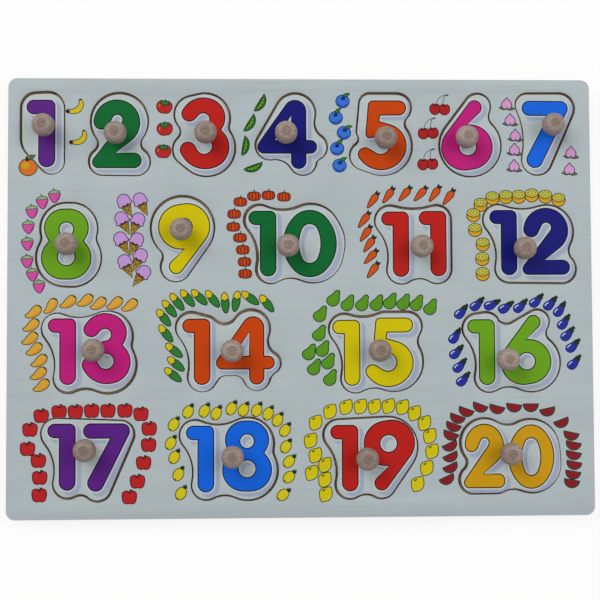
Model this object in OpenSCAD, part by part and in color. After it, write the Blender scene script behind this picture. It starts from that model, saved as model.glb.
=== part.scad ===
// Wooden number puzzle: twenty printed tiles, each with a turned peg, lie in the pockets of a two-layer board.
// The board lies flat, with its left edge towards -X, the first row of numerals towards +Y and its pegs up.

/* [Board] */
// Width of the board, from left to right
board_w = 300; // [270:1:400]
// Depth of the board, from its bottom edge to its top edge
board_d = 225; // [205:1:300]
// Radius of the board's corners
corner_r = 4.5; // [2:0.5:20]
// Thickness of the plain back panel
back_t = 3; // [2:0.5:6]
// Thickness of the printed panel, which the tiles are cut from
panel_t = 4; // [3:0.5:8]

/* [Numerals] */
// Height of the figures on the tiles from 10 to 19
figure_h = 34; // [30:0.5:37]
// Thickness of the figures' ink
ink_t = 0.1; // [0.05:0.05:0.3]

/* [Fit] */
// Clearance all round a tile that lies in the middle of its pocket
tile_gap = 1; // [0.4:0.1:1.5]
// Least gap left on the side that a tile has slid towards
slid_gap = 0.3; // [0.1:0.05:0.6]
// Glue gap all round a peg's tenon
glue_gap = 0.05; // [0.02:0.01:0.2]
// Bare ring that the ink leaves round a peg's neck
ink_gap = 0.3; // [0.1:0.1:1]

/* [Pegs] */
// Diameter of a peg's head
head_d = 11.4; // [10:0.2:14]
// Diameter of the flat on top of the head
flat_d = 5; // [3:0.5:9]
// Diameter of a peg's neck
neck_d = 7; // [6:0.5:9]
// Diameter of the tenon, which is glued into the tile
tenon_d = 5; // [3:0.5:5.5]
// Length of wood left between the tenon's end and the underside of the tile
tenon_short = 0.5; // [0.2:0.1:1.5]
// Height of the straight neck
neck_h = 3.5; // [1:0.5:5]
// Height of the hollow curve under the head
cove_h = 3.5; // [1:0.5:5]
// Height of the head's straight rim
rim_h = 2; // [1:0.5:4]
// Height of the head's rounded top
dome_h = 4; // [1:0.5:6]

/* [Hidden] */
$fn = 48;
// Largest turn between two points of an arc, in degrees
arc_step = 9;
// The outlines are drawn for figures of this height, on a board of this size
drawn_h = 34;
drawn_board = [300, 225];
outline_scale = figure_h / drawn_h;
place_scale = [board_w / drawn_board[0], board_d / drawn_board[1]];
// How far a tile can slide off the middle of its pocket
slide = max(0, tile_gap - slid_gap);
// How deep the ink's solid is sunk into its tile, so that both are one piece
ink_root = panel_t / 4;
tile_top = back_t + panel_t;

count = 20;

// Colours
plywood = "#c9a77a";
paper_white = "#e9ebe6";
peg_wood = "#b58f70";
ink_colours = [
    "#6a3fa0", "#16804f", "#cf1f2b", "#1f2fa3", "#e0561a", "#c8157f", "#1f6fd6", "#63b32e", "#e3cf12", "#0f6e38",
    "#cf2a20", "#262a80", "#cf1585", "#d9631c", "#e6d010", "#6fae2a", "#61298f", "#1f5fd0", "#d21f24", "#d99a12"
];

// Places of the numerals from the middle of the drawn board: of the figure's middle, or of the first figure's
places = [
    [-130.8, 84.8], [-94.8, 84.1], [-49.6, 84.4], [-7.4, 84.2], [41.9, 84.2], [85.6, 83.6], [127, 84.4],
    [-120.4, 27.2], [-60.3, 30.5], [-18, 27.9], [51.1, 27.5], [107.1, 27.8],
    [-119.1, -27.8], [-51.2, -27.1], [25.4, -28.2], [94.8, -28.3],
    [-119.2, -81], [-49.2, -82.2], [23.8, -82.3], [92.5, -82]
];
// Places of the pegs from those of the numerals
peg_places = [
    [-0.2, 2.6], [0.2, -0.7], [0.7, -0.9], [-0.7, -0.5], [1.1, -2.9], [-1.4, -2.2], [2.3, 3.6],
    [1.3, -0.6], [-1.1, 3.9], [10.3, -1.9], [9.9, -1.9], [6.6, -3.8],
    [14, 0.4], [15.6, 0.1], [13.7, 0.9], [9.4, -4],
    [10, 3.7], [13.9, 1.3], [8.3, 0], [12.2, 1.9]
];
// Way that each tile has slid in its pocket, as a share of the most that it can
slides = [
    [0.5, -0.8], [0.2, -0.6], [-0.1, -0.2], [0.1, -0.6], [-0.2, -0.8], [0.3, -0.3], [-0.5, -0.4],
    [0.3, 0], [0.1, -0.7], [0.8, -0.5], [-0.2, -0.5], [-0.1, 0.2],
    [-0.4, 0.6], [-0.1, -0.9], [0, -0.6], [0.2, -0.4],
    [-0.3, 0.4], [-0.3, 0], [0.4, 0], [0.9, -0.2]
];

// An outline is a belt round circles [x, y, r], counter-clockwise and on the right of the way from one to the next.
// A circle with r under 0 is passed on its other side, r of 0 is a sharp corner, and [r] alone is a waist of that
// radius, which blends the circles before and after it.

function middle(c) = [c[0], c[1]];
function unit(angle) = [cos(angle), sin(angle)];
function turn(angle) = angle - 360 * floor(angle / 360);
function after(list, i) = list[(i + 1) % len(list)];
function before(list, i) = list[(i + len(list) - 1) % len(list)];

// Circle outside a and b that touches both
function waist(a, b, r) =
    let (
        way = middle(b) - middle(a),
        length = norm(way),
        to_a = a[2] + r,
        to_b = b[2] + r,
        along = (length * length + to_a * to_a - to_b * to_b) / (2 * length),
        aside = sqrt(to_a * to_a - along * along),
        u = way / length
    )
    concat(middle(a) + along * u + aside * [u[1], -u[0]], -r);

function with_waists(circles) =
    [for (i = [0 : len(circles) - 1])
        len(circles[i]) == 1 ? waist(before(circles, i), after(circles, i), circles[i][0]) : circles[i]];

// Direction of the straight stretch from circle a to circle b
function heading(a, b) =
    let (way = middle(b) - middle(a))
    atan2(way[1], way[0]) - asin(max(-1, min(1, (b[2] - a[2]) / norm(way))));

// Points round circle c, from the stretch that comes in to the one that goes out
function arc(c, heading_in, heading_out) =
    let (
        swing = turn((heading_out - heading_in) * sign(c[2])),
        angle = swing > 359.9 ? 0 : swing * sign(c[2]),
        steps = max(1, ceil(abs(angle) / arc_step))
    )
    c[2] == 0
        ? [middle(c)]
        : [for (i = [0 : steps]) middle(c) + c[2] * unit(heading_in - 90 + angle * i / steps)];

function ring(c) = [for (angle = [0 : arc_step : 359.9]) middle(c) + c[2] * unit(angle)];

// Points of the belt round the circles, moved outwards by grow
function belt(circles, grow = 0) =
    let (
        full = with_waists(circles),
        round = [for (c = full) [c[0], c[1], c[2] + grow]],
        headings = [for (i = [0 : len(round) - 1]) heading(round[i], after(round, i))],
        points = [for (i = [0 : len(round) - 1]) each arc(round[i], before(headings, i), headings[i])]
    )
    len(circles) == 1
        ? ring([circles[0][0], circles[0][1], circles[0][2] + grow])
        : [for (i = [0 : len(points) - 1]) if (norm(points[i] - before(points, i)) > 0.01) points[i]];

// Four arcs that make an oval, from its half width, its half height and the radius of its ends
function oval(half_w, half_h, end_r) =
    let (
        rise = half_h - end_r,
        spread = half_w - end_r,
        inset = (rise * rise - spread * spread) / (2 * spread)
    )
    [[-inset, 0, half_w + inset], [0, rise, end_r], [inset, 0, half_w + inset], [0, -rise, end_r]];

// Figures from 0 to 9 about their own middle, each with its outline first and then the holes in it.
// The 1 is placed by the middle of its stem, and the 9 is the 6 turned half way round.
six = [
    [[1.6, -5.9, 11.4], [0, 5.4, 0], [4, 14.3, 3.6], [-1.4, -6.2, 11.6]],
    [[0.4, -5.8, 4.4]]
];
figures = [
    [oval(13.7, 17.2, 11.2), oval(5.65, 10.15, 4.4)],
    [[[0.1, -12.9, 4.05], [1.15, 13.5, 3], [-6.3, 13, 3.5], [-3.95, 9.5, 0]]],
    [[[8.5, -13.25, 3.75], [-0.75, -9.5, 0], [0, 5.9, 11.55], [-7.6, 6.4, 3.95], [0.2, 7.3, -2.7], [-9.3, -14.1, 2.9]]],
    [[[1.3, -6.9, 10.8], [7.95, 1.7, 0], [0.3, 7.9, 9.8], [-0.75, 6.5, 11.4], [-7.7, 9.8, 3.8], [-0.8, 7, -3.2],
        [-1, 0.7, 3.1], [-0.3, -6.5, -4], [-8.4, -8.3, 3.9], [0.1, -5, 12.9]]],
    [[[5.75, -13.55, 3.7], [9.45, -9.55, 0], [11.5, -6.25, 3.3], [9.45, -2.95, 0], [3.9, 11.7, 5.55],
        [-11.6, -6.3, 3.25], [2.05, -9.55, 0]], [[2.05, -2.95, 0], [2.05, 9.5, 0], [-6.3, -2.95, 0]]],
    [[[1, -5.6, 11.3], [-1.6, 6.9, 0], [-1, 10, 0], [8.5, 13.75, 3.65], [-4.6, 15, 2.4], [-6.2, 0.5, 2.1],
        [-0.8, -5.3, -4.6], [-8.7, -10, 3.5], [-0.6, -5, 12.9]]],
    six,
    [[[-5.4, -13, 4.1], [8, 13.2, 3.7], [-7.95, 13.3, 3.7], [2, 9.6, 0]]],
    [[[1.7, -7, 10.8], [8.6, 1.5, 0], [1.4, 8.2, 9.65], [-1.4, 8.2, 9.65], [-8.6, 1.5, 0], [-1.7, -7, 10.8]],
        [[0, 7.55, 3.6]], [[0, -6.45, 4.4]]],
    [for (loop = six) [for (c = loop) [-c[0], -c[1], c[2]]]]
];

// Places of the second figure from the stem of the 1, on the tiles from 10 to 19
second_places = [
    [21.55, -0.2], [19.4, 0.3], [19.35, 0.2], [19.7, 1.25], [22.2, 0.35],
    [19.25, 0.2], [20.3, 0.8], [19.85, -0.45], [21.05, 1.1], [20.25, 1.25]
];
// Scales of the figures from 1 to 9, of those on the tiles from 10 to 19 and of the 2 and the 0 on tile 20
single_scales = [1.03, 1.02, 1.03, 1.03, 1.02, 1.02, 1.02, 1.01, 1.01];
plain_scale = [1, 1];
twenty_scale = [0.86, 0.945];
// Place of the 0 from the middle of the 2 on tile 20
twenty_zero = [24.2, -0.3];

// The figures on tile n, each with its place and its scale
function figures_on(n) =
    n < 10 ? [[n, [0, 0], single_scales[n - 1] * plain_scale]] :
    n < 20 ? [[1, [0, 0], plain_scale], [n - 10, second_places[n - 10], plain_scale]] :
    [[2, [0, 0], twenty_scale], [0, twenty_zero, twenty_scale]];

// Pockets from 1 to 9 about the middle of the figure
single_pockets = [
    [[2.8, -15, 7], [0.9, 12.4, 8.9], [-5, 12.6, 8.4], [-1.6, -3.2, 11.8]],
    [[9.9, -14.4, 7.7], [4], [1.4, 6.4, 15.2], [4], [-7.1, -14.3, 7.6]],
    [[0.8, -7.6, 15.3], [4], [0, 7.7, 13.5], [-6, 9.7, 10.2], [4], [-8, -8.6, 9]],
    [[8.1, -14.3, 7.6], [3], [13.8, -6.8, 7.4], [8], [4.2, 10.6, 11], [-8.8, -6, 8], [9]],
    [[0, -6.1, 15.9], [4], [7.6, 13.8, 8], [-6.5, 15.8, 6], [-9.9, 1.3, 4], [3], [-9.5, -11.2, 7.9]],
    [[1.8, -5.5, 16.6], [5], [5.7, 14.9, 7.4]],
    [[-4.6, -13.5, 8.5], [7.1, 13.2, 8.6], [-9.4, 15, 6.7], [38]],
    [[3, -7, 15.4], [5], [2.7, 7.9, 13.8], [0.1, 7.9, 13.8], [5], [-0.5, -6.9, 15.3]],
    [[-4.3, -14.8, 8.2], [-0.8, 5.2, 16.8], [4]]
];
// Pockets from 10 to 19 about the stem of the 1: all start at its foot and end at its flag
one_foot = [0.2, -13.5, 8];
one_flag = [-5.5, 11.7, 8.4];
one_side = [21];
// How far to the right of the print the 1's side of the pockets from 10 to 19 was cut
cut_shifts = [1.6, 0, 0, 0, 0, 1.6, 1, 0, 0, 0];
second_sides = [
    [[12], [23.5, -5.2, 16], [20.5, -0.3, 20], [22.5, 5, 15.6], [20]],
    [[9], [18.6, -13.2, 8.1], [18.4, 12, 8.3], [32]],
    [[27.4, -13.8, 8], [6], [19.8, 5.5, 14.4], [26]],
    [[12], [20.2, -6.7, 15.1], [5], [20, 7.7, 13.4], [20]],
    [[12.3, -17.8, -4.5], [16.8, -17.8, -4.5], [28, -13.7, 7.3], [5.5], [34.4, -6.6, 6.3], [7], [25, 11, 10.3], [6],
        [1.5, 10.2, 8]],
    [[12], [21.5, -5.2, 15.7], [6.2], [28.7, 13, 8], [17, 13, 8], [20]],
    [[12], [23.1, -5.8, 15.6], [4], [26.4, 15.2, 6.8], [10.4, 19.7, -5], [-0.3, 12.3, 8.4]],
    [[5.4], [15.2, -15.5, 7.6], [26.7, 11.2, 7.6]],
    [[12], [21.3, -6, 15.8], [5], [21.3, 7.3, 13.9], [20]],
    [[8], [16.4, -13.6, 7.8], [19.5, 5.3, 16]]
];
// Pocket of the 20 about the middle of its 2
twenty_pocket = [
    [-5.3, -11.9, 7.8], [6.9, -12, 7.6], [10], [25, -4, 15.4], [23.2, 0, 17], [24.2, 4, 15.4], [10], [0.4, 7, 12.9], [4]
];

function pocket_circles(n) =
    n < 10 ? single_pockets[n - 1] :
    n < 20 ? let (moved = [cut_shifts[n - 10], 0, 0])
        concat([one_foot + moved], second_sides[n - 10], [one_flag + moved, one_side]) :
    twenty_pocket;

function place(n) = [places[n - 1][0] * place_scale[0], places[n - 1][1] * place_scale[1]];
function tile_place(n) = place(n) + slide * slides[n - 1];
function peg_place(n) = tile_place(n) + outline_scale * peg_places[n - 1];
function scaled(circles) = outline_scale * circles;

// Pocket outline of tile n about its place, moved outwards by grow
module pocket_outline(n, grow = 0) {
    polygon(belt(scaled(pocket_circles(n)), grow));
}

module loop(circles, stretch) {
    polygon([for (p = belt(circles)) [p[0] * stretch[0], p[1] * stretch[1]] * outline_scale]);
}

module figure(digit, stretch) {
    loops = figures[digit];
    difference() {
        loop(loops[0], stretch);
        for (i = [1 : 1 : len(loops) - 1])
            loop(loops[i], stretch);
    }
}

module board_outline() {
    x = board_w / 2 - corner_r;
    y = board_d / 2 - corner_r;
    polygon(belt([[x, -y, corner_r], [x, y, corner_r], [-x, y, corner_r], [-x, -y, corner_r]]));
}

// Plain plywood that closes the pockets from below
module back_panel() {
    color(plywood)
    linear_extrude(back_t)
    board_outline();
}

// Printed panel with a pocket cut right through it for each tile
module frame_panel() {
    color(paper_white)
    translate([0, 0, back_t])
    linear_extrude(panel_t)
    difference() {
        board_outline();
        for (n = [1 : count])
            translate(place(n))
            pocket_outline(n);
    }
}

// Printed figures of tile n, bare round the peg's neck
module tile_ink(n) {
    color(ink_colours[n - 1])
    difference() {
        translate([0, 0, tile_top - ink_root])
        linear_extrude(ink_root + ink_t)
        for (f = figures_on(n))
            translate(tile_place(n) + outline_scale * f[1])
            figure(f[0], f[2]);
        translate(concat(peg_place(n), 0))
        cylinder(h = tile_top + 2 * ink_t, d = neck_d + 2 * ink_gap);
    }
}

// Tile cut from the printed panel, with a bore for its peg
module number_tile(n) {
    difference() {
        union() {
            color(paper_white)
            translate(concat(tile_place(n), back_t))
            linear_extrude(panel_t)
            pocket_outline(n, -tile_gap);
            tile_ink(n);
        }
        translate(concat(peg_place(n), 0))
        cylinder(h = 2 * tile_top, d = tenon_d + 2 * glue_gap);
    }
}

// Half section of a turned peg, from its tenon's end to the flat on its head
function peg_section() =
    let (
        neck_r = neck_d / 2,
        head_r = head_d / 2,
        flat_r = flat_d / 2,
        rim_z = neck_h + cove_h,
        dome_z = rim_z + rim_h
    )
    concat(
        [[0, tenon_short - panel_t], [tenon_d / 2, tenon_short - panel_t], [tenon_d / 2, 0], [neck_r, 0]],
        [for (t = [0 : 15 : 90]) [head_r - (head_r - neck_r) * cos(t), neck_h + cove_h * sin(t)]],
        [for (t = [0 : 15 : 90]) [flat_r + (head_r - flat_r) * cos(t), dome_z + dome_h * sin(t)]],
        [[0, dome_z + dome_h]]
    );

module peg(n) {
    color(peg_wood)
    translate(concat(peg_place(n), tile_top))
    rotate_extrude()
    polygon(peg_section());
}

back_panel();
frame_panel();
for (n = [1 : count]) {
    number_tile(n);
    peg(n);
}
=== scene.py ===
import collections
import math

import bpy
from mathutils import Matrix, Vector
from mathutils.geometry import delaunay_2d_cdt


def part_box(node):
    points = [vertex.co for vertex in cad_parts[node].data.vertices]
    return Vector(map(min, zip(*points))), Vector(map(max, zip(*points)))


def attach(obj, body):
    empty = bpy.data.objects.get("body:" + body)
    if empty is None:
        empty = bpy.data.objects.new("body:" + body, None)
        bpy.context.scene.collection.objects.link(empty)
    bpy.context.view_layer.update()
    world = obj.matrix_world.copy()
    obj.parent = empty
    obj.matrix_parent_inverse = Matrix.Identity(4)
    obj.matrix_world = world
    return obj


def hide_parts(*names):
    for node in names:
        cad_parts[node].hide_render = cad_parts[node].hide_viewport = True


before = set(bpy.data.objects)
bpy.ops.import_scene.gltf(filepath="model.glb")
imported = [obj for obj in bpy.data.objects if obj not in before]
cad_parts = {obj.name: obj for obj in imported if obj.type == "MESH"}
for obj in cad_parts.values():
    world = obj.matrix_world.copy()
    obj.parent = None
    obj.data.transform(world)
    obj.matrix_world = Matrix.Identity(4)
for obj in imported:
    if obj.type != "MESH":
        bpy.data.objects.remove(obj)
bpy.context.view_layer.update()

# Lengths are in millimetres from the middle of the board's underside, and turns in degrees.
# The floor, lamps and camera are in metres.
MM = 0.001
COUNT = 20
BACK_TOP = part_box("back_panel")[1].z / MM
PANEL_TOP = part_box("frame_panel")[1].z / MM
INK_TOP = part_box("number_tile_1")[1].z / MM


# Finishes

def linear(srgb, light=1.0):
    """Blender's colour for 0 to 255 sRGB values, made lighter or darker."""
    shares = (v / 255 for v in srgb)
    return [light * (s / 12.92 if s <= 0.04045 else ((s + 0.055) / 1.055) ** 2.4) for s in shares] + [1.0]


class Wire:
    """A node's output in sums: each operator adds a Math node."""

    def __init__(self, finish, socket):
        self.finish, self.socket = finish, socket

    def maths(self, operation, *values):
        return self.finish.node("ShaderNodeMath", {"operation": operation}, dict(enumerate(values)))

    def __add__(self, other):
        return self.maths("ADD", self, other)

    def __sub__(self, other):
        return self.maths("SUBTRACT", self, other)

    def __rsub__(self, other):
        return self.maths("SUBTRACT", other, self)

    def __mul__(self, other):
        return self.maths("MULTIPLY", self, other)

    __radd__ = __add__
    __rmul__ = __mul__


class Finish:
    """A material, as its nodes are added."""

    def __init__(self, name):
        self.material = bpy.data.materials.new(name)
        self.material.use_nodes = True
        self.tree = self.material.node_tree
        self.tree.nodes.clear()
        self.place = self.node("ShaderNodeTexCoord", out="Object")

    def node(self, kind, settings=(), sockets=(), out=0):
        """Adds a node of a kind with its settings and the values or wires of its sockets."""
        made = self.tree.nodes.new(kind)
        for key, value in dict(settings).items():
            setattr(made, key, value)
        for key, value in dict(sockets).items():
            socket = made.inputs[key] if isinstance(key, int) else next(
                s for s in made.inputs if key in (s.identifier, s.name))
            if isinstance(value, Wire):
                self.tree.links.new(value.socket, socket)
            else:
                socket.default_value = value
        found = made.outputs[out] if isinstance(out, int) else next(
            s for s in made.outputs if out in (s.identifier, s.name))
        return Wire(self, found)

    def noise(self, size, detail=2.0):
        """Noise in patches of about this size on X, Y and Z."""
        scale = [1 / (s * MM) for s in size]
        place = self.node("ShaderNodeMapping", (), {"Vector": self.place, "Scale": scale})
        return self.node("ShaderNodeTexNoise", (), {"Vector": place, "Scale": 1.0, "Detail": detail}, "Fac")

    def height(self):
        """Height above the floor in millimetres, while the board is at rest."""
        return self.node("ShaderNodeSeparateXYZ", (), {"Vector": self.place}, "Z") * (1 / MM)

    def span(self, value, low, high):
        """A value between two others as 0 to 1."""
        sockets = {"Value": value, "From Min": low, "From Max": high}
        return self.node("ShaderNodeMapRange", (), sockets, "Result")

    def mix(self, share, first, second):
        return self.node("ShaderNodeMix", {"data_type": "RGBA"},
                         {"Factor_Float": share, "A_Color": first, "B_Color": second}, "Result_Color")

    def surface(self, colour, roughness, relief, depth, **more):
        """Joins the wires to the shader. The relief, from 0 to 1, is that deep."""
        bump = self.node("ShaderNodeBump", (), {"Height": relief, "Distance": depth * MM})
        sockets = {"Base Color": colour, "Roughness": roughness, "Normal": bump}
        shader = self.node("ShaderNodeBsdfPrincipled", (), {**sockets, **more})
        self.node_out(shader)
        return self.material

    def node_out(self, shader):
        made = self.tree.nodes.new("ShaderNodeOutputMaterial")
        self.tree.links.new(shader.socket, made.inputs["Surface"])


def printed(name, srgb, wood):
    """Ink on sanded plywood, whose grain shows through as thin streaks along the board."""
    f = Finish(name)
    streaks = f.span(f.noise((45, 0.7, 45), 2.0), 0.58, 0.72)
    veins = f.span(f.noise((130, 3.5, 130), 3.0), 0.5, 0.8)
    clouds = f.noise((40, 14, 40))
    dots = f.noise((0.22, 0.22, 0.22), 1.0)
    even = f.mix(clouds, linear(srgb, 0.95), linear(srgb, 1.05))
    dotted = f.mix(f.span(dots, 0.35, 0.75) * 0.1, even, linear(srgb, 0.8))
    warm = [v * w for v, w in zip(linear(srgb), (0.86, 0.76, 0.68, 1.0))]
    colour = f.mix((streaks * 0.8 + veins * 0.3) * wood, dotted, warm)
    relief = streaks * 0.7 + dots * 0.3
    return f.surface(colour, 0.36 + 0.16 * dots + 0.12 * streaks, relief, 0.02, **{"Specular IOR Level": 0.1})


def plywood(name, face, dark):
    """Bare sanded face veneer with its grain along the board."""
    f = Finish(name)
    bands = f.noise((160, 6, 160), 3.0)
    fibres = f.noise((22, 0.35, 22), 3.0)
    pores = f.span(f.noise((5, 0.16, 5), 1.0), 0.62, 0.72)
    broad = f.mix(f.span(bands, 0.3, 0.7), linear(face, 1.04), linear(face, 0.86))
    fine = f.mix(f.span(fibres, 0.4, 0.75) * 0.45, broad, linear(dark))
    colour = f.mix(pores * 0.5, fine, linear(dark, 0.6))
    return f.surface(colour, 0.62 + 0.18 * fibres, fibres - pores * 0.8, 0.05)


def cut_edge(name, light, dark, glue, ply):
    """Sawn edge of a panel: its plies, the glue lines between them and the marks of the saw."""
    f = Finish(name)
    across = (f.height() * (1 / ply)).maths("FRACT")
    glue_line = f.span((across - 0.5).maths("ABSOLUTE"), 0.42, 0.47)
    cross_ply = f.span((f.height() * (0.5 / ply)).maths("FRACT"), 0.49, 0.51)
    fibres = f.noise((0.5, 0.5, 2.5), 3.0)
    soot = f.noise((7, 7, 3), 3.0)
    ply_colour = f.mix(cross_ply * 0.6, linear(light), linear(dark))
    marked = f.mix(f.span(fibres, 0.35, 0.75) * 0.5, ply_colour, linear(dark, 0.75))
    sooted = f.mix(f.span(soot, 0.45, 0.7) * 0.5, marked, linear(glue))
    colour = f.mix(glue_line * 0.7, sooted, linear(glue))
    return f.surface(colour, 0.66 + 0.2 * fibres, fibres * 0.8 - glue_line * 0.3, 0.06)


def turned_wood(name, light, dark):
    """Turned and sanded hardwood with its grain up the peg, and the lathe's fine rings."""
    f = Finish(name)
    lots = f.span(f.noise((30, 30, 400), 0.0), 0.3, 0.7)
    rings = f.noise((3.4, 1.1, 60), 2.0)
    fibres = f.noise((0.22, 0.22, 4.5), 3.0)
    flecks = f.span(f.noise((0.5, 0.14, 1.4), 1.0), 0.6, 0.72)
    lathe = f.noise((400, 400, 0.12), 1.0)
    broad = f.mix(f.span(rings, 0.32, 0.68) * 0.5 + lots * 0.5, linear(light), linear(dark))
    fine = f.mix(f.span(fibres, 0.4, 0.75) * 0.3, broad, linear(dark, 0.85))
    colour = f.mix(flecks * 0.4, fine, linear(dark, 0.6))
    return f.surface(colour, 0.44 + 0.2 * fibres, fibres * 0.5 + lathe * 0.4 - flecks * 0.4, 0.04)


def end_grain(name, light, dark):
    """Sanded end of a rod: open pores in arcs of paler and darker wood."""
    f = Finish(name)
    lots = f.span(f.noise((30, 30, 400), 0.0), 0.3, 0.7)
    arcs = f.span(f.noise((3.2, 0.6, 400), 2.0), 0.38, 0.62)
    pores = f.span(f.noise((0.3, 0.2, 400), 1.0), 0.55, 0.7)
    broad = f.mix(arcs * 0.5 + lots * 0.5, linear(light), linear(dark))
    colour = f.mix(pores * 0.45, broad, linear(dark, 0.7))
    return f.surface(colour, 0.6 + 0.15 * arcs, arcs * 0.3 - pores * 0.6, 0.05)


INKS = {
    "board_white": (176, 187, 190),
    "tile_white": (181, 191, 193),
    "rim_white": (192, 200, 200),
    "line": (14, 12, 16),
    "shadow": (158, 167, 188),
    "soft_shadow": (170, 180, 191),
    "purple": (89, 32, 128),
    "green": (6, 102, 46),
    "red": (184, 30, 24),
    "navy": (20, 22, 114),
    "orange": (196, 66, 4),
    "magenta": (188, 28, 120),
    "blue": (16, 98, 218),
    "lime": (104, 160, 26),
    "yellow": (206, 190, 0),
    "amber": (200, 150, 14),
    "ink_black": (34, 40, 42),
    "dark_leaf": (18, 48, 24),
    "leaf": (46, 126, 48),
    "husk": (44, 118, 46),
    "olive_leaf": (86, 124, 48),
    "sage": (146, 168, 126),
    "dark_sage": (66, 96, 78),
    "olive": (72, 66, 16),
    "bark": (60, 24, 14),
    "wine": (70, 10, 16),
    "plum": (70, 44, 80),
    "cherry": (166, 30, 28),
    "apple": (182, 34, 36),
    "melon": (138, 24, 34),
    "rind": (58, 66, 46),
    "strawberry": (206, 76, 158),
    "rose": (186, 50, 132),
    "lilac": (188, 146, 204),
    "peach": (206, 150, 198),
    "pumpkin": (200, 68, 20),
    "carrot": (202, 80, 22),
    "tangerine": (206, 110, 34),
    "mango": (212, 160, 56),
    "lemon": (206, 192, 6),
    "citrus": (204, 198, 84),
    "lime_flesh": (118, 126, 22),
    "wafer": (158, 128, 38),
    "pear": (86, 146, 28),
    "aubergine": (36, 46, 146),
    "sky": (52, 112, 204),
    "shine": (196, 206, 222),
}
FIGURE_INKS = [
    "purple", "green", "red", "navy", "orange", "magenta", "blue", "lime", "yellow", "green",
    "red", "navy", "magenta", "orange", "yellow", "lime", "purple", "blue", "red", "amber",
]
GRAIN_IN_WHITE, GRAIN_IN_INK = 0.5, 0.18
PRINTS = {
    name: printed(name + "_print", srgb, GRAIN_IN_WHITE if "white" in name else GRAIN_IN_INK)
    for name, srgb in INKS.items()
}
FACE_PLY, BACK_PLY = 1.34, 1.0
# The floor of the pockets is the same plywood as the bare underside, but painted paler and greyer: painted
# light where it shows down the slots.
POCKET_FLOOR_PAINTED_LIGHT = plywood("pocket_floor_painted_light", (204, 184, 158), (166, 142, 114))
BARE_PLY = plywood("bare_plywood", (210, 178, 136), (170, 130, 88))
# The pocket walls and tile edges are the same sawn plywood as the outer rim, but painted paler and greyer:
# painted light that stands in for the light reaching down into the narrow slots.
POCKET_CUT_PAINTED_LIGHT = cut_edge("pocket_cut_painted_light", (220, 210, 202), (192, 180, 170), (150, 138, 128), FACE_PLY)
RIM_CUT = cut_edge("rim_cut", (222, 198, 162), (192, 162, 126), (136, 106, 78), BACK_PLY)
PEG_WOOD = turned_wood("turned_peg_wood", (170, 153, 144), (130, 111, 100))
# The flat top of each peg is end grain, which is darker than the turned side grain, and it is painted darker
# still: painted shade that sets the flat apart from the brighter slope around it.
PEG_END_GRAIN_AND_SHADE = end_grain("peg_end_grain_and_painted_shade", (150, 133, 122), (114, 95, 84))


# Outlines: lists of points with the solid, or the ink, on their left

def area(loop):
    return sum(a[0] * b[1] - b[0] * a[1] for a, b in zip(loop, loop[1:] + loop[:1])) / 2


def anticlockwise(loop):
    return loop if area(loop) > 0 else loop[::-1]


MITRE_LIMIT = 0.5


def offset(loop, distance):
    """An outline moved to its right, which is away from its solid."""
    moved = []
    for a, b, c in zip(loop[-1:] + loop[:-1], loop, loop[1:] + loop[:1]):
        before, after = (Vector(b) - Vector(a)).normalized(), (Vector(c) - Vector(b)).normalized()
        across = before + after
        right = Vector((across.y, -across.x))
        moved.append(Vector(b) + right * distance / max(MITRE_LIMIT, 1 + before.dot(after)))
    return moved


def spaced(loop, gap):
    """An outline without the points that follow another too closely."""
    kept = loop[:1]
    for point in loop[1:]:
        if (point - kept[-1]).length > gap:
            kept.append(point)
    return kept


def disc(x, y, rx, ry=None, points=22):
    ry = rx if ry is None else ry
    turns = [2 * math.pi * i / points for i in range(points)]
    return [Vector((x + rx * math.cos(t), y + ry * math.sin(t))) for t in turns]


def smooth(points, steps=4):
    """Closed curve through the points."""
    curve = []
    for i in range(len(points)):
        a, b, c, d = (Vector(points[(i + k) % len(points)]) for k in (-1, 0, 1, 2))
        for t in (s / steps for s in range(steps)):
            curve.append(b + (c - a) * t / 2 + (a - 2.5 * b + 2 * c - d / 2) * t ** 2
                         + (1.5 * b - a / 2 - 1.5 * c + d / 2) * t ** 3)
    return anticlockwise(curve)


def mirrored(points):
    """Points down the right side of a shape, and the same up its left side."""
    return points + [(-x, y) for x, y in reversed(points) if abs(x) > 0.01]


def leaf(x0, y0, x1, y1, width):
    """Pointed leaf from its stalk to its tip."""
    stalk, way = Vector((x0, y0)), Vector((x1 - x0, y1 - y0))
    side = Vector((way.y, -way.x)).normalized() * width / 2
    spots = [(s, math.sin(math.pi * s ** 0.8)) for s in (0, 0.12, 0.28, 0.45, 0.62, 0.8, 1)]
    right = [stalk + way * s + side * w for s, w in spots]
    left = [stalk + way * s - side * w for s, w in spots[1:-1]]
    return right + left[::-1]


def stroke(points, width):
    """Ribbon along a line."""
    line = [Vector(p) for p in points]
    ways = [(b - a).normalized() for a, b in zip(line[:1] + line[:-1], line[1:] + line[-1:])]
    sides = [Vector((w.y, -w.x)) * width / 2 for w in ways]
    return [p + s for p, s in zip(line, sides)] + [p - s for p, s in zip(line, sides)][::-1]


def bow(x0, y0, x1, y1, bend, width):
    """Ribbon between two points that bends to its left."""
    start, way = Vector((x0, y0)), Vector((x1 - x0, y1 - y0))
    side = Vector((-way.y, way.x)).normalized() * bend
    return stroke([start + way * t + side * 4 * t * (1 - t) for t in (0, 0.2, 0.4, 0.6, 0.8, 1)], width)


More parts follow.
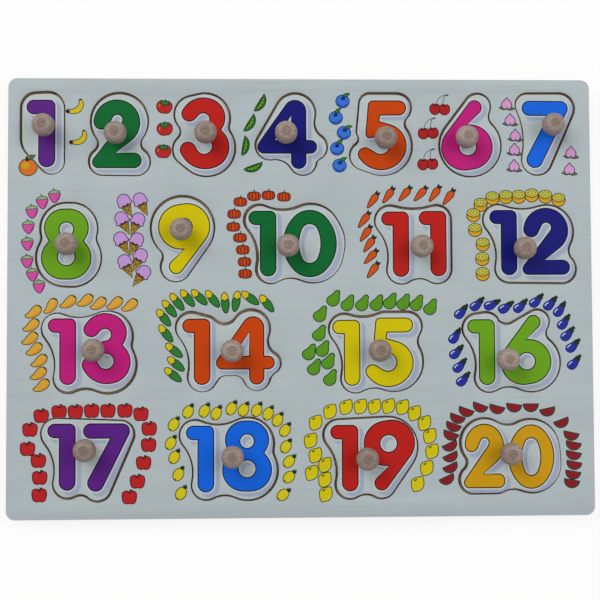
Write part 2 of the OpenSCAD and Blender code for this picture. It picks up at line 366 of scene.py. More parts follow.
def face_loops(node, height):
    """Outlines of a CAD node's level faces at a height."""
    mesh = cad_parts[node].data
    spots = [tuple(round(c / MM, 4) for c in v.co) for v in mesh.vertices]
    ways = set()
    for polygon in mesh.polygons:
        corners = [spots[i] for i in polygon.vertices]
        if polygon.normal.z > 0.99 and abs(corners[0][2] - height) < 0.01:
            ways |= {(a[:2], b[:2]) for a, b in zip(corners, corners[1:] + corners[:1])}
    return chained({a: b for a, b in ways if (b, a) not in ways})


def chained(following):
    """Closed loops from a table of what follows each point."""
    loops = []
    while following:
        loop = [min(following)]
        while loop[-1] in following:
            loop.append(following.pop(loop[-1]))
        loops.append(loop[:-1])
    return loops


# Printed fruit, each in its own ink layers from the lowest to the highest, with its stalk towards +Y

LINE_W = 0.5
FRUIT_SIZE = 0.93


def lined(ink, *loops, edge="line"):
    """Shapes with their outlines, which lie under all of them."""
    return [(edge, offset(loop, LINE_W)) for loop in loops] + plain(ink, *loops)


def plain(ink, *loops):
    return [(ink, loop) for loop in loops]


def whole_orange():
    pores = [(1.6, -1.2), (2.6, 0.4), (0.6, -2.6), (-1.4, -2.4), (2.2, -2.6), (-2.8, -1)]
    return (lined("tangerine", disc(0, -0.6, 4.7, 4.5, 32), edge="bark")
            + plain("amber", disc(-1.3, 0.5, 2.2, 1.9))
            + plain("orange", *(disc(x, y, 0.16, points=8) for x, y in pores))
            + lined("bark", stroke([(0, 3.2), (0.3, 4.9)], 0.7))
            + lined("leaf", leaf(0.2, 4, 4.2, 5.2, 1.9)))


def banana():
    skin = smooth([(-4.4, 2.6), (-3.6, -0.2), (-1.2, -2.4), (2, -2.7), (4.2, -1.3), (4.9, 0.1), (4.3, 0.5),
                   (2.6, -0.4), (0.4, -0.3), (-1.8, 1), (-3.4, 3.1), (-4.1, 3.4)])
    return (lined("lemon", skin, edge="olive") + plain("mango", bow(-3.7, 1.7, 4.1, -0.4, -2.1, 0.5))
            + lined("bark", stroke([(-4.4, 2.8), (-4.1, 3.9)], 0.9))
            + plain("bark", disc(4.7, 0.2, 0.45, points=10)))


def tomato():
    skin = smooth(mirrored([(0, 2.5), (1.8, 3), (3.7, 1.6), (3.9, -0.8), (2.4, -3), (0, -3.4)]))
    turns = [math.radians(a) for a in (-200, -155, -90, -25, 20)]
    sepals = [leaf(0, 2.3, 2.3 * math.cos(t), 2.3 + 1.9 * math.sin(t), 0.95) for t in turns]
    return (lined("apple", skin, edge="wine") + plain("tangerine", bow(-2.9, -0.6, -1.5, 1.7, 0.5, 0.6))
            + lined("leaf", *sepals, edge="dark_leaf")
            + plain("dark_leaf", stroke([(0, 2.3), (0.3, 4.1)], 0.7)))


def pea_pod():
    pod = smooth([(-5, 0.9), (-3.2, -1), (0, -1.9), (3.2, -1), (5, 0.9), (3.2, 1.2), (0, 1.3), (-3.2, 1.2)])
    open_side = smooth([(-4, 0.6), (0, -1.2), (4, 0.6), (0, 0.9)])
    sizes = [(-2.7, 0.2, 0.75), (-0.95, -0.2, 0.95), (1, -0.2, 0.95), (2.75, 0.2, 0.75)]
    peas = [disc(x, y, r, points=14) for x, y, r in sizes]
    return (lined("leaf", pod, edge="dark_leaf") + plain("dark_leaf", open_side)
            + lined("pear", *peas, edge="dark_leaf")
            + plain("dark_leaf", stroke([(4.7, 0.8), (5.7, 1.6)], 0.7)))


def blueberry():
    turns = [math.radians(a) for a in (18, 90, 162, 234, 306)]
    crown = [leaf(0.3, 1.4, 0.3 + 1.7 * math.cos(t), 1.4 + 1.3 * math.sin(t), 0.95) for t in turns]
    return (lined("sky", disc(0, -0.2, 3.5, 3.4, 26), edge="navy") + plain("navy", *crown)
            + plain("aubergine", bow(-2.6, -1.5, 2.4, -1.7, -1.5, 0.6))
            + lined("leaf", leaf(0.8, 2.9, 3.6, 4, 1.3), edge="dark_leaf"))


def cherry_pair():
    ball = [(0, 2.2), (1.3, 2.6), (2.6, 1.1), (2.5, -1.2), (1, -2.7), (0, -2.8)]
    middles = [(-2.5, -0.2), (2.8, 0.1)]
    left, right = (smooth([(x + dx, y + dy) for x, y in mirrored(ball)]) for dx, dy in middles)
    hollows = [smooth([(x - 1.1, 2), (x, 1.4), (x + 1.1, 2), (x, 2.3)]) for x in (-2.4, 2.6)]
    return (plain("dark_leaf", bow(-2.3, 2, 2.4, 8.2, 1.3, 0.35), bow(1.6, 2, 2.4, 8.2, 0.4, 0.35))
            + plain("dark_leaf", leaf(2.2, 8.1, 4.7, 8.5, 0.9))
            + lined("cherry", left, right, edge="wine")
            + plain("wine", *hollows, bow(0.2, 1.9, 0.2, -2.2, -0.3, 0.35)))


def peach():
    side = [(0, 3.2), (0.8, 2), (2.2, 0.7), (2.6, -0.9), (1.8, -2.5), (0.5, -2.7), (0, -2.2)]
    skin = smooth(mirrored(side))
    leaves = [leaf(0.2, -2.3, -3.9, -2.3, 1.5), leaf(-0.2, -2.3, 4.1, -2.8, 1.5)]
    return (lined("olive_leaf", *leaves, edge="dark_leaf") + lined("peach", skin, edge="plum")
            + plain("plum", smooth([(-0.5, -2.6), (0, -1.7), (0.5, -2.6), (0, -2.2)])))


def strawberry():
    skin = smooth(mirrored([(0, 1.9), (1.6, 2.1), (2.9, 1.2), (2.6, -0.7), (1.3, -2.9), (0, -3.8)]))
    cap = smooth([(-2.6, 1.7), (-1.6, 1.3), (-0.6, 1.5), (0.2, 1), (1, 1.5), (2.2, 1.3),
                  (2.7, 1.9), (1.5, 2.4), (0, 2.9), (-1.4, 2.4)])
    return (lined("strawberry", skin, edge="plum") + plain("rose", bow(0.9, -2.7, 2.3, 0.2, -0.4, 0.6))
            + lined("sage", cap, edge="dark_sage") + plain("dark_sage", bow(0, 2.6, -0.5, 4.2, -0.2, 0.5)))


def ice_cream():
    wafer = [Vector(p) for p in ((-2.9, 2.6), (0.1, -5), (2.9, 2.6))]
    lattice = [stroke(p, 0.25) for p in (
        ((-1.9, 0.2), (1.6, 2.6)), ((-1, -2.2), (2.3, 1.2)),
        ((1.9, 0.2), (-1.6, 2.6)), ((1, -2.2), (-2.3, 1.2)))]
    scoop = smooth([(-3.6, 2.6), (-2.4, 2), (-1.3, 2.6), (0, 2), (1.3, 2.6), (2.4, 1.9), (3.7, 2.4),
                    (3.4, 3.9), (3.5, 5.5), (2.3, 7.4), (0.2, 8.1), (-2, 7.3), (-3.2, 5.4), (-3, 3.9)])
    brim = stroke([(-2.8, 2.2), (0, 1.6), (2.8, 2.2)], 1.1)
    return (lined("wafer", wafer, edge="bark") + plain("bark", *lattice, brim)
            + lined("lilac", scoop, edge="plum"))


def pumpkin():
    sizes = [(-2.2, 1.15, 1.9), (2.2, 1.15, 1.9), (-1.1, 1.25, 2.2), (1.1, 1.25, 2.2), (0, 0.85, 2.25)]
    discs = [disc(x, -0.3, rx, ry, 18) for x, rx, ry in sizes]
    ribs = [layer for rib in discs for layer in lined("pumpkin", rib, edge="bark")]
    return ribs + plain("dark_leaf", stroke([(0, 1.7), (0.1, 2.6), (0.5, 3.3)], 0.65))


def carrot():
    skin = smooth([(0.5, 3.7), (1.6, 3), (1.9, 1.4), (1.2, -1.8), (0.2, -4.6), (-0.4, -4.6),
                   (-1, -1.8), (-1.4, 1.4), (-0.8, 3.1)])
    rings = [stroke(p, 0.22) for p in (
        ((-1.2, 1.5), (-0.2, 1.3)), ((0.6, 0.1), (1.5, 0.3)), ((-0.9, -1.6), (-0.1, -1.7)))]
    leaves = [leaf(0.3, 3.4, -0.5, 5.2, 0.9), leaf(0.3, 3.4, 1.2, 5.3, 0.9)]
    return (lined("ink_black", *leaves, edge="dark_leaf")
            + lined("carrot", skin, edge="bark") + plain("pumpkin", *rings))


def cut_orange():
    x, y, rx, ry = 0.1, 1, 3.3, 2.1
    wedge = [(0.3, 0), (0.78, -0.24), (0.87, 0), (0.78, 0.24)]
    wedges = []
    for middle in (math.radians(40 * i + 10) for i in range(9)):
        turns = [(r, middle + t) for r, t in wedge]
        wedges.append([Vector((x + rx * r * math.cos(t), y + ry * r * math.sin(t))) for r, t in turns])
    return (lined("amber", disc(0.1, -0.4, 3.5, 3.4, 28), edge="olive")
            + plain("mango", bow(-2.6, -1.5, 2.6, -1.7, -1.4, 0.7))
            + lined("citrus", disc(x, y, rx, ry, 26), edge="olive") + plain("lime_flesh", *wedges)
            + plain("olive", disc(x, y, 0.5, 0.35, 10)))


def mango():
    skin = smooth([(4.5, -1.2), (2.4, -2.9), (-1.2, -3), (-4, -1.6), (-4.6, -0.1), (-2.6, 0.2),
                   (0.3, 1.4), (3, 1.7), (4.5, 0.4)])
    return (lined("mango", skin, edge="olive") + plain("tangerine", bow(-2.6, -1.9, 3, -2, -0.6, 0.35))
            + plain("dark_leaf", bow(3.8, 1.2, 4.6, -0.9, 0.3, 0.5)))


def corn():
    husk = smooth([(-1.2, 1.2), (0.2, 0.4), (1.5, 1.4), (2.1, -0.3), (1.9, -2.5), (1, -5.2), (0, -5.7),
                   (-0.9, -4.6), (-1.6, -2.3), (-1.8, -0.2)])
    cob = smooth(mirrored([(0.1, 5.2), (1, 4.6), (1.6, 3), (1.6, 1), (0, 0)]))
    rows = [stroke([(x, 0.9), (x * 0.8, 4.4)], 0.2) for x in (-0.9, 0, 0.9)]
    return (lined("lemon", cob, edge="olive") + plain("mango", *rows) + lined("husk", husk, edge="dark_leaf")
            + plain("leaf", bow(-0.7, 0.4, -0.2, -4.6, 0.1, 0.35), bow(0.9, 0.6, 0.7, -4.4, -0.1, 0.35)))


def pear():
    skin = smooth([(0.3, 5.4), (1.6, 5.2), (2, 3.6), (2.9, 1.4), (3.2, -0.9), (1.7, -3), (-0.6, -3.4),
                   (-2.6, -2.3), (-2.9, -0.3), (-1.4, 2.2), (-0.5, 4.5)])
    return (plain("dark_leaf", stroke([(0.8, 5.2), (1.1, 6.2)], 0.55)) + lined("pear", skin, edge="dark_leaf")
            + plain("olive_leaf", bow(0.6, -2.7, 2.4, -0.5, -0.5, 0.4)))


def eggplant():
    skin = smooth([(0.2, 4.3), (1.6, 4.2), (2.3, 2.4), (2.5, -0.3), (1.6, -2.4), (-0.2, -3),
                   (-1.8, -2.2), (-2, -0.3), (-0.8, 1.9)])
    cap = smooth([(0, 4.4), (-0.2, 3.3), (0.7, 3.7), (1.3, 3), (1.8, 3.8), (2.3, 3.7), (1.8, 5), (0.9, 5.3)])
    return (lined("aubergine", skin, edge="navy") + plain("shine", bow(-1.3, -1.6, -0.6, 0.9, 0.35, 0.55))
            + lined("dark_leaf", cap, stroke([(1, 4.8), (1.5, 6.1)], 0.8), edge="ink_black"))


def apple():
    skin = smooth(mirrored([(0, 2.5), (1.6, 3), (3.4, 2.2), (3.7, -0.1), (3, -2.8), (1.4, -3.6), (0, -3.3)]))
    return (lined("apple", skin, edge="wine")
            + plain("wine", smooth([(-1.6, 2.5), (0, 1.7), (1.6, 2.5), (0, 2.3)]))
            + plain("dark_leaf", bow(0, 2, 0.4, 4, -0.2, 0.55), leaf(0.2, 3.2, 1.8, 3.9, 0.9)))


def pineapple():
    lattice = [stroke(p, 0.14) for p in (
        ((-2.2, -1.2), (1, 2.7)), ((-1.5, -2.8), (2.2, 1.6)),
        ((2.2, -1.2), (-1, 2.7)), ((1.5, -2.8), (-2.2, 1.6)))]
    tips = [(-1.4, 4.4), (1.8, 4.5), (-0.6, 5.3), (1, 5.4), (0.3, 5.8)]
    crown = [leaf(0.2, 2.7, x, y, 0.8) for x, y in tips]
    return (lined("lemon", disc(0, -0.3, 2.5, 3.4, 26), edge="olive") + plain("citrus", *lattice)
            + plain("olive", disc(-0.2, -3.4, 0.5, 0.35, 10)) + plain("dark_leaf", *crown))


def lemon():
    skin = smooth([(2.7, 3.7), (3.3, 1.9), (3.3, -0.7), (2, -2.9), (-0.8, -3.9), (-2.3, -3.5), (-3.1, -0.4),
                   (-2.8, 1.9), (-1.2, 3), (0.8, 3.5)])
    return (lined("lemon", skin, edge="olive") + plain("citrus", bow(-0.4, -3.3, 2.7, -0.7, -0.6, 0.5))
            + plain("olive", leaf(-1.8, 1.6, 0.2, 2.7, 0.9)))


def melon_slice():
    def half(r, tall, top):
        turns = [math.pi + math.pi * i / 14 for i in range(15)]
        return [Vector((r * math.cos(t), top + tall * math.sin(t))) for t in turns]
    seeds = [(-2.2, 0.6), (-0.9, -0.4), (0.9, -0.4), (2.2, 0.6), (0, 0.8), (-1.2, 1), (1.2, 1)]
    return (lined("rind", half(4, 3.9, 1.7), edge="ink_black") + plain("melon", half(3.65, 3.5, 1.6))
            + plain("wine", *(disc(x, y, 0.17, 0.27, 8) for x, y in seeds)))


# What is printed round each numeral: the drawing, and the place and turn of each copy
FRUIT = [
    (whole_orange, [(-139.8, 67.2, 8)]),
    (banana, [(-115.2, 97.5, 62), (-113.4, 81.5, 62)]),
    (tomato, [(-70.4, 98, -8), (-70.2, 86.6, 6), (-71, 75, -4)]),
    (pea_pod, [(-20.8, 99.6, 58), (-26.2, 89.2, 58), (-28.8, 77.6, 80), (-24.6, 66.4, 20)]),
    (blueberry, [(21.4, 101.2, 0), (17.8, 92.6, 15), (22, 84.8, -8), (18.4, 76.6, 10), (19.6, 67.8, 0)]),
    (cherry_pair, [(71.7, 97.1, -6), (65.6, 84.6, 0), (65.2, 68.5, 0)]),
    (peach, [
        (106.8, 100, 0), (108.5, 91.7, 0), (111.1, 83.6, 0), (110.6, 76.2, 0), (110.3, 67.7, 0),
        (140.1, 74.7, 0), (139.2, 66, 0),
    ]),
    (strawberry, [
        (-126.3, 52.1, 4), (-132.5, 49, 6), (-137.7, 44.1, 5), (-139.5, 36.3, 4), (-139.9, 27.7, 5),
        (-140, 18.7, 4), (-137.3, 12, 6), (-133.9, 6, 5),
    ]),
    (ice_cream, [
        (-89.3, 45.4, 27), (-90.4, 36.4, 28), (-90.9, 26.1, 28), (-88.9, 14.4, 26), (-81.2, 46.1, 26),
        (-85.5, 35.9, -23), (-86.2, 25.6, -24), (-84.4, 17.6, -26), (-83.5, 9.5, -38),
    ]),
    (pumpkin, [
        (-31.5, 49.1, 0), (-24.5, 52, 0), (-17.1, 52.5, 0), (-9.1, 51.7, 0), (-34.7, 42.8, 0),
        (-35.1, 36.2, 0), (-31.7, 30.6, 0), (-30.3, 24.4, 0), (-29.4, 18.2, 0), (-29.1, 12.1, 0),
    ]),
    (carrot, [
        (36.6, 49.7, -32), (44.6, 52.3, -32), (53.2, 53, -37), (61.3, 53, -39), (68.7, 53.1, -32),
        (75.9, 51.4, -33), (32, 39.6, -33), (32.8, 32.5, -32), (34.6, 27, -32), (35.4, 20.6, -40),
        (36.4, 13.7, -33),
    ]),
    (cut_orange, [
        (98.7, 51, 0), (105.7, 51.6, 0), (112.4, 51.7, 0), (119.2, 52.5, 0), (126.3, 51.8, 0),
        (133.2, 50.2, 0), (92.5, 47.6, 0), (88.7, 42.2, 0), (89.5, 34.5, 0), (93.4, 27, 0),
        (93.1, 19.5, 0), (93.2, 11.7, 0),
    ]),
    (mango, [
        (-137, -7, 30), (-128.5, -4.1, 48), (-119.5, -2, 30), (-110.9, -1.2, 28), (-104.2, -2.8, 30),
        (-95.9, -2.7, 30), (-88.3, -3.7, 30), (-138.1, -13.8, 30), (-138.7, -20.5, 30),
        (-136.5, -25.9, 30), (-134, -31.8, 30), (-134.3, -38.3, 30), (-132.8, -44.3, 30),
    ]),
    (corn, [
        (-58.8, -0.5, 38), (-52.8, -0.1, 45), (-46, -0.9, 38), (-39.5, -2.8, 4), (-33.8, -2, -11),
        (-26.8, -0.6, 53), (-18.3, -3.3, 37), (-64.1, -2.4, 37), (-68, -5.8, 38), (-70.9, -10.4, 37),
        (-69.8, -18.5, 36), (-65.7, -27.2, 50), (-64.7, -34.1, 49), (-66.2, -39.6, 50),
    ]),
    (pear, [
        (15.9, -1.5, -24), (23.2, -3.9, -22), (30.7, -4, -22), (38.1, -3.9, -22), (45, -3, -23),
        (51.9, -3.5, -22), (58.7, -4, -23), (65.8, -6.1, -22), (9, -9.5, -25), (8.5, -19.3, -23),
        (3.3, -29, -23), (10.2, -27.3, -23), (13, -33.7, -23), (5.8, -36.7, -23), (14, -42.1, -22),
    ]),
    (eggplant, [
        (81, -8.7, -31), (89.2, -4.7, -35), (96.7, -4.5, -53), (104, -6.1, -44), (111.7, -5.7, -35),
        (120, -3, -35), (127.3, -4.5, -33), (132.3, -7.7, -25), (134.3, -14.3, -27), (136.1, -20.3, -33),
        (138.7, -26.3, -36), (139.3, -35, -31), (77.8, -21.3, -24), (78.3, -29.3, -34), (80, -36.3, -32),
        (81.7, -43.3, -32),
    ]),
    (apple, [
        (-132.5, -59.9, 0), (-123.5, -57.9, 0), (-115.3, -57.9, 0), (-107.1, -57.5, 0), (-98.9, -57.5, 0),
        (-90.3, -57.5, 0), (-82.2, -59.3, 0), (-78, -66.7, 0), (-78.3, -74.9, 0), (-80.8, -83.9, 0),
        (-83.9, -93.3, 0), (-88, -101.2, 0), (-138.1, -66.8, 0), (-139.3, -76.5, 0), (-133.8, -82.5, 0),
        (-133.1, -91, 0), (-133.3, -99.8, 0),
    ]),
    (pineapple, [
        (-58.2, -58.3, -28), (-49.9, -57.9, -27), (-43.9, -59.2, -28), (-36.2, -56.8, -29),
        (-30, -57.5, -28), (-23.3, -57.7, -27), (-17.5, -59.5, -28), (-12.7, -62.8, -30),
        (-8.9, -68, -31), (-8.5, -76.3, -31), (-6.9, -83.9, -42), (-6.9, -91.7, -44), (-10, -100.7, -50),
        (-65.5, -64.7, -31), (-67, -74.1, -30), (-65.2, -81.2, -29), (-63.1, -89.9, -29),
        (-61.8, -99.5, -30),
    ]),
    (lemon, [
        (6.5, -64.3, 0), (13.9, -58.7, 0), (22.1, -56.5, 0), (29.5, -56.2, 0), (36.7, -56.3, 0),
        (43.9, -56.1, 0), (51.1, -56.7, 0), (57.2, -59.8, 0), (62.3, -64.9, 0), (65, -71.5, 0),
        (66.1, -79.3, 0), (63.3, -87.8, 0), (58.5, -95.9, 0), (3.9, -73.4, 0), (6.3, -80.9, 0),
        (11.2, -85.8, 0), (4.4, -89.8, 0), (11.1, -93.3, 0), (11.5, -100.7, 0),
    ]),
    (melon_slice, [
        (91, -57.3, -20), (99.7, -58.2, -15), (108.6, -57.4, -8), (117.4, -57.3, 0), (126.2, -59.6, 12),
        (133.4, -65.4, 20), (83.7, -59.5, -20), (79.2, -62.9, -20), (77.1, -67.1, -20),
        (75.7, -71.5, -20), (75.7, -77, 25), (76, -82.5, 25), (75.9, -88, 25), (74, -94, 25),
        (138, -72, -12), (139.1, -77, -12), (139.1, -82, -12), (139.3, -87, -12), (138.7, -91.9, -10),
        (138, -96.3, -10),
    ]),
]


def fruit_paints(numeral):
    """Ink layers of the fruit round a numeral, where they are on the board."""
    drawing, places = FRUIT[numeral - 1]
    layers = drawing()
    paints = []
    for x, y, turn in places:
        put = Matrix.Translation((x, y, 0)) @ Matrix.Rotation(math.radians(turn), 4, "Z")
        put = put @ Matrix.Scale(FRUIT_SIZE, 4)
        paints += [(ink, [[(put @ p.to_3d()).to_2d() for p in loop]], 0) for ink, loop in layers]
    return paints


# Solids

EASE = 0.08
EASED = [(0.0, 0.0), (0.707, 0.293), (1.0, 1.0)]
WELD = 0.0001
SHARP_ANGLE = math.radians(50)


def partition(outlines, paints=()):
    """Triangles of the sheet between the outlines, each with the number of the last paint that covers it."""
    points, loops, owners = [], [], []
    for owner, group in [(None, outlines)] + [(i, paint[1]) for i, paint in enumerate(paints)]:
        for loop in group:
            loops.append(list(range(len(points), len(points) + len(loop))))
            points += [Vector(p) for p in anticlockwise(loop)]
            owners.append(owner)
    spots, _, triangles, sources, _, covers = delaunay_2d_cdt(points, [], loops, 1, WELD, True)
    kept = []
    for corners, cover in zip(triangles, covers):
        times = collections.Counter(owners[i] for i in cover)
        if times[None] % 2:
            covering = [i for i, n in times.items() if i is not None and n % 2]
            kept.append((corners, max(covering, default=None)))
    return spots, kept, sources


class Shell:
    """The faces of one piece as they are made, each with its finish."""

    def __init__(self):
        self.spots, self.faces, self.finishes, self.rounded = [], [], [], []

    def ring(self, loop, height):
        first = len(self.spots)
        self.spots += [(p[0] * MM, p[1] * MM, height * MM) for p in loop]
        return list(range(first, len(self.spots)))

    def face(self, corners, finish, rounded=False):
        self.faces.append(corners)
        self.finishes.append(finish)
        self.rounded.append(rounded)

    def strip(self, lower, upper, finish):
        for a, b, c, d in zip(lower, lower[1:] + lower[:1], upper[1:] + upper[:1], upper):
            self.face((a, b, c, d), finish, True)

    def underside(self, rings, finish):
        """Level face that looks down, between rings of one height."""
        flat = [[self.spots[i] for i in ring] for ring in rings]
        turned = [ring if area(loop) > 0 else ring[::-1] for ring, loop in zip(rings, flat)]
        order = [i for ring in turned for i in ring]
        scaled = [[(self.spots[i][0] / MM, self.spots[i][1] / MM) for i in ring] for ring in turned]
        _, triangles, sources = partition(scaled)
        for corners, _ in triangles:
            self.face([order[sources[i][0]] for i in reversed(corners)], finish)

    def panel(self, outlines, bottom, top, sheet, paints, rim, cut, under):
        """Panel with eased edges: printed on top, and sawn round its outlines and its holes."""
        spots, triangles, _ = partition([offset(loop, -EASE) for loop in outlines], paints)
        corner_at = {}

        def corner(i, lift):
            if (i, lift) not in corner_at:
                corner_at[i, lift] = self.ring([spots[i]], top + lift)[0]
            return corner_at[i, lift]

        sides = {}
        for corners, paint in triangles:
            ink, _, lift = (sheet, None, 0) if paint is None else paints[paint]
            self.face([corner(i, lift) for i in corners], PRINTS[ink])
            sides.update({(a, b): (lift, ink) for a, b in zip(corners, corners[1:] + corners[:1])})
        border = {}
        for (a, b), (lift, ink) in sides.items():
            low = sides[b, a][0] if (b, a) in sides else 0
            if (b, a) not in sides:
                border[a] = b
            if lift > low:
                self.face((corner(a, low), corner(b, low), corner(b, lift), corner(a, lift)), PRINTS[ink])
        feet = []
        for loop in chained(border):
            outline = [spots[i] for i in loop]
            finish = rim if area(outline) > 0 else cut
            upper = [corner(i, 0) for i in loop]
            rings = [(out, top - EASE * down) for out, down in EASED[1:]]
            rings += [(out, bottom + EASE * down) for out, down in reversed(EASED)]
            for out, height in rings:
                lower = self.ring(offset(outline, EASE * out), height)
                self.strip(lower, upper, finish)
                upper = lower
            feet.append(upper)
        self.underside(feet, under)

    def piece(self, name, body, node, slot):
        mesh = bpy.data.meshes.new(name)
        mesh.from_pydata(self.spots, [], self.faces)
        numbers = {finish: i for i, finish in enumerate(dict.fromkeys(self.finishes))}
        for finish in numbers:
            mesh.materials.append(finish)
        mesh.polygons.foreach_set("material_index", [numbers[f] for f in self.finishes])
        mesh.polygons.foreach_set("use_smooth", self.rounded)
        mesh.set_sharp_from_angle(angle=SHARP_ANGLE)
        piece = bpy.data.objects.new(name, mesh)
        bpy.context.scene.collection.objects.link(piece)
        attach(piece, body)
        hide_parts(node)
        return piece


def back():
    """Plain plywood under the printed panel."""
    shell = Shell()
    outline = max(face_loops("back_panel", BACK_TOP), key=area)
    upper = None
    rings = [(out - 1, BACK_TOP - EASE * down) for out, down in EASED]
    rings += [(out - 1, EASE * down) for out, down in reversed(EASED)]
    for out, height in rings:
        lower = shell.ring(offset(outline, EASE * out), height)
        if upper is None:
            shell.face(lower, POCKET_FLOOR_PAINTED_LIGHT)
        else:
            shell.strip(lower, upper, RIM_CUT)
        upper = lower
    shell.face(upper[::-1], BARE_PLY)
    return shell.piece("plywood_back", "board", "back_panel", "plywood")


def board_face():
    """Printed panel with its pockets."""
    shell = Shell()
    paints = [paint for n in range(1, COUNT + 1) for paint in fruit_paints(n)]
    outlines = face_loops("frame_panel", PANEL_TOP)
    shell.panel(outlines, BACK_TOP, PANEL_TOP, "board_white", paints, RIM_CUT, POCKET_CUT_PAINTED_LIGHT, BARE_PLY)
    return shell.piece("printed_panel", "board", "frame_panel", "printed_panel")


INK_LIFT = INK_TOP - PANEL_TOP
# The solids leave the ink off inside this ring, and the print runs on under the peg's neck
NECK_RING, NECK_SPACING = 3.82, 0.5
RIM_W = 0.9
SHADOW_BLUR = 0.45
SHADOW_SHIFT = Vector((1.9, -1.6))
OUTER_LINE, INNER_LINE = 0.2, 0.36
TENON_R, TENON_CHAMFER, GLUE_GAP = 2.5, 0.3, 0.05
BORE_POINTS = 40


def peg_centre(n):
    low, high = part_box(f"peg_{n}")
    return (low + high).to_2d() / 2 / MM


def tile(n):
    """Bored tile with its figures, their outlines and the shadow printed beside them."""
    centre = peg_centre(n)
    outline = max(face_loops(f"number_tile_{n}", PANEL_TOP), key=area)
    figures = []
    for loop in face_loops(f"number_tile_{n}", INK_TOP):
        clear = [(Vector(p) - centre).length > NECK_RING for p in loop]
        beside = zip(clear[-1:] + clear[:-1], clear, clear[1:] + clear[:1])
        shown = [Vector(p) for p, near in zip(loop, beside) if any(near)]
        if any(clear):
            figures.append(shown if all(clear) else spaced(shown, NECK_SPACING))
    rims = [offset(loop, RIM_W) for loop in figures]
    shadows = [[p + SHADOW_SHIFT for p in loop] for loop in rims]
    blurs = [offset(loop, SHADOW_BLUR) if area(loop) > 0 else loop for loop in shadows]
    paints = [
        ("soft_shadow", blurs, 0),
        ("shadow", shadows, 0),
        ("rim_white", rims, 0),
        ("line", [offset(loop, OUTER_LINE) for loop in figures], 0),
        (FIGURE_INKS[n - 1], [offset(loop, -INNER_LINE) for loop in figures], INK_LIFT),
    ]
    if n == 1:
        paints += fruit_paints(n)
    bore = disc(centre.x, centre.y, TENON_R + GLUE_GAP, points=BORE_POINTS)[::-1]
    shell = Shell()
    shell.panel([outline, bore], BACK_TOP, PANEL_TOP, "tile_white", paints, POCKET_CUT_PAINTED_LIGHT, POCKET_CUT_PAINTED_LIGHT, BARE_PLY)
    return shell.piece(f"puzzle_tile_{n}", f"piece_{n}", f"number_tile_{n}", "printed_tile")


NECK_R, FLAT_R = 3.5, 2.5
HEAD_R = (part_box("peg_1")[1].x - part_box("peg_1")[0].x) / 2 / MM
TENON_END, COVE_Z, RIM_Z, DOME_Z, FLAT_Z = -3.5, 3.5, 7.0, 9.0, 13.0
RIM_EASE = 0.15
GROOVE_R, GROOVE_DEPTH = 1.9, 0.04
CENTRE_R, CENTRE_DEPTH = 0.4, 0.3
PEG_POINTS = 72


def peg(n):
    """Peg turned from a rod: tenon, neck, hollow under the head, rim and rounded top with a flat."""
    centre = peg_centre(n)
    turns = [math.radians(a) for a in range(0, 91, 9)]
    cove_w, cove_h = HEAD_R - NECK_R, RIM_Z - COVE_Z
    dome_w, dome_h = HEAD_R - FLAT_R, FLAT_Z - DOME_Z
    section = [(TENON_R - TENON_CHAMFER, TENON_END), (TENON_R, TENON_END + TENON_CHAMFER), (TENON_R, 0.0)]
    section += [(NECK_R - RIM_EASE, 0.0), (NECK_R, RIM_EASE)]
    section += [(HEAD_R - cove_w * math.cos(t), COVE_Z + cove_h * math.sin(t)) for t in turns[:-1]]
    section += [(HEAD_R - RIM_EASE, RIM_Z), (HEAD_R, RIM_Z + RIM_EASE)]
    section += [(FLAT_R + dome_w * math.cos(t), DOME_Z + dome_h * math.sin(t)) for t in turns[:-1]]
    flat = [(FLAT_R, FLAT_Z), (GROOVE_R + GROOVE_DEPTH, FLAT_Z), (GROOVE_R, FLAT_Z - GROOVE_DEPTH),
            (GROOVE_R - GROOVE_DEPTH, FLAT_Z), (CENTRE_R, FLAT_Z), (CENTRE_R / 4, FLAT_Z - CENTRE_DEPTH)]
    shell = Shell()
    lower = shell.ring(disc(centre.x, centre.y, section[0][0], points=PEG_POINTS), PANEL_TOP + section[0][1])
    shell.face(lower[::-1], PEG_WOOD)
    for i, (radius, z) in enumerate(section[1:] + flat):
        upper = shell.ring(disc(centre.x, centre.y, radius, points=PEG_POINTS), PANEL_TOP + z)
        shell.strip(lower, upper, PEG_WOOD if i < len(section) else PEG_END_GRAIN_AND_SHADE)
        lower = upper
    shell.face(lower, PEG_END_GRAIN_AND_SHADE)
    return shell.piece(f"turned_peg_{n}", f"piece_{n}", f"peg_{n}", "peg_wood")


back()
board_face()
for n in range(1, COUNT + 1):
    tile(n)
    peg(n)


# Floor, light and camera

FLOOR_HALF = 3.0
FLOOR_GLOW = 0.85
WHITE_RAYS = ("Is Camera Ray", "Is Glossy Ray", "Is Transmission Ray")
PAPER_DARK, PAPER_LIGHT, PAPER_ROUGHNESS = (246, 246, 246), (250, 250, 250), 0.9
CAMERA_PLACE = (-0.02178, -0.02648, 0.59756)
CAMERA_TURN = (2.411, -1.997, -0.253)
CAMERA_LENS, CAMERA_SENSOR = 69.236, 36.0
CAMERA_NEAR, CAMERA_FAR = 0.01, 20.0
LAMPS = [((-0.9, 0.9, 1.3), 1.3, 17.0), ((1.1, 0.3, 1.3), 1.4, 11.0)]
WORLD_LIGHT = 0.38

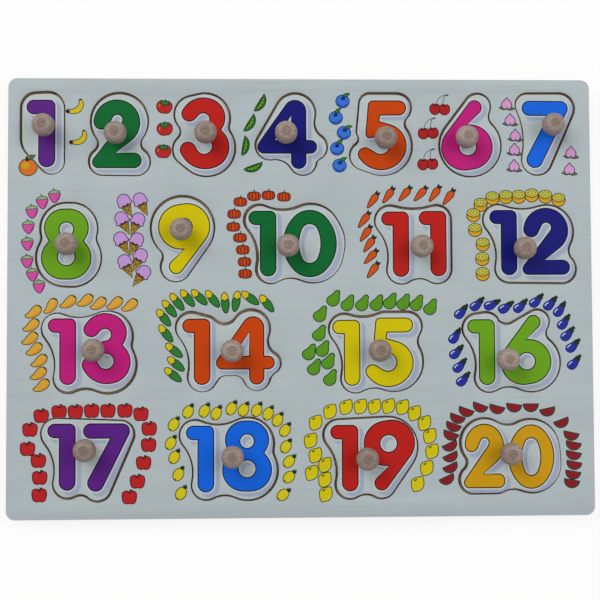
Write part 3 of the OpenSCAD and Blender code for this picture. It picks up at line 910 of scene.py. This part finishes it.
floor_mesh = bpy.data.meshes.new("floor")
floor_corners = [(x * FLOOR_HALF, y * FLOOR_HALF, 0) for x, y in ((-1, -1), (1, -1), (1, 1), (-1, 1))]
floor_mesh.from_pydata(floor_corners, [], [(0, 1, 2, 3)])
floor = bpy.data.objects.new("floor", floor_mesh)
bpy.context.scene.collection.objects.link(floor)
paper = Finish("floor_paper")
rays = [paper.node("ShaderNodeLightPath", (), (), ray) for ray in WHITE_RAYS]
mottle = paper.noise((90, 90, 90))
tone = paper.mix(mottle, linear(PAPER_DARK), linear(PAPER_LIGHT))
matt = paper.node("ShaderNodeBsdfPrincipled", (), {"Base Color": tone, "Roughness": PAPER_ROUGHNESS})
white = paper.node("ShaderNodeEmission", (), {"Strength": 1.0})
glow = (rays[0] + rays[1] + rays[2]) * FLOOR_GLOW
paper.node_out(paper.node("ShaderNodeMixShader", (), {"Fac": glow, 1: matt, 2: white}))
floor_mesh.materials.append(paper.material)

world = bpy.data.worlds.new("studio")
bpy.context.scene.world = world
world.use_nodes = True
world.node_tree.nodes["Background"].inputs["Color"].default_value = (1, 1, 1, 1)
world.node_tree.nodes["Background"].inputs["Strength"].default_value = WORLD_LIGHT

for i, (place, size, watts) in enumerate(LAMPS):
    lamp = bpy.data.lights.new(f"soft_lamp_{i + 1}", "AREA")
    lamp.shape, lamp.size, lamp.energy = "DISK", size, watts
    holder = bpy.data.objects.new(lamp.name, lamp)
    holder.location = place
    holder.rotation_euler = (-Vector(place)).to_track_quat("-Z", "Y").to_euler()
    bpy.context.scene.collection.objects.link(holder)

eye = bpy.data.cameras.new("camera")
eye.lens, eye.sensor_width = CAMERA_LENS, CAMERA_SENSOR
eye.clip_start, eye.clip_end = CAMERA_NEAR, CAMERA_FAR
camera = bpy.data.objects.new("camera", eye)
camera.location = CAMERA_PLACE
camera.rotation_euler = [math.radians(a) for a in CAMERA_TURN]
bpy.context.scene.collection.objects.link(camera)
bpy.context.scene.camera = camera
bpy.context.scene.view_settings.view_transform = "Standard"
